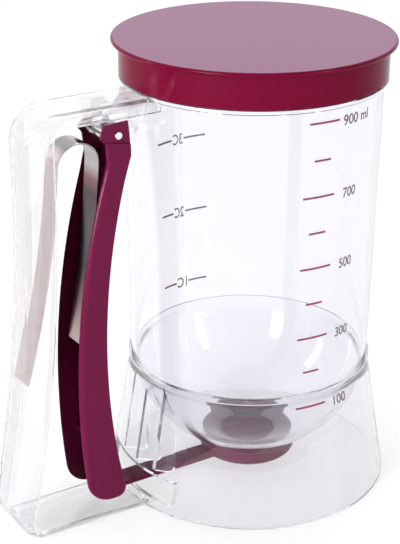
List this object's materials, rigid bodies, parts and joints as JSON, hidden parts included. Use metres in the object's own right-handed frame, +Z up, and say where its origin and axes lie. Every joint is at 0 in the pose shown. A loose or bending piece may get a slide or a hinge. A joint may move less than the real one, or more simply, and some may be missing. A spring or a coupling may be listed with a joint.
{
  "type": "pancake batter dispenser",
  "caption": "Clear measuring jug with a round bottom outlet, flared stand, C-shaped handle, squeeze trigger with a sealing cup, return spring and lift-off cap lid.",
  "frame": {"origin": "on the jug's axis, in the plane the base stands on", "axes": "+Z up along the jug's axis, the handle on the -X side, the lever's pin along Y"},
  "size_m": [0.1762, 0.1188, 0.1898],
  "materials": {
    "jug_clear": "clear, faint cool tint, polished",
    "skirt_clear": "clear, faint cool tint, polished",
    "handle_clear": "clear, faint lavender tint, polished",
    "lid_maroon": "opaque maroon, high gloss",
    "trigger_maroon": "opaque dark maroon, satin gloss",
    "seal_rubber": "dark grey, matt",
    "spring_steel": "bright rolled strip",
    "pin_steel": "turned, bright"
  },
  "bodies": {
    "jug": {"jug_body": "jug_clear", "base_skirt": "skirt_clear", "handle": "handle_clear", "pivot_bracket": "handle_clear", "pivot_pin": "pin_steel", "leaf_spring": "spring_steel"},
    "trigger": {"trigger_lever": "trigger_maroon", "valve_arm": "trigger_maroon", "valve_cup": "trigger_maroon", "valve_seal": "seal_rubber"},
    "lid": {"lid_cap": "lid_maroon"}
  },
  "joints": [
    {"name": "trigger_squeeze", "type": "hinge", "parent": "jug", "child": "trigger", "pos_m": [-0.0668, 0, 0.1625], "axis": [0, 1, 0], "range_deg": [0, 4.4], "stiffness_Nm_per_rad": 4, "springref_deg": -1.72, "deforming": ["leaf_spring"]},
    {"name": "lid_lift", "type": "slide", "parent": "jug", "child": "lid", "axis": [0, 0, 1], "range_m": [0, 0.03]}
  ]
}
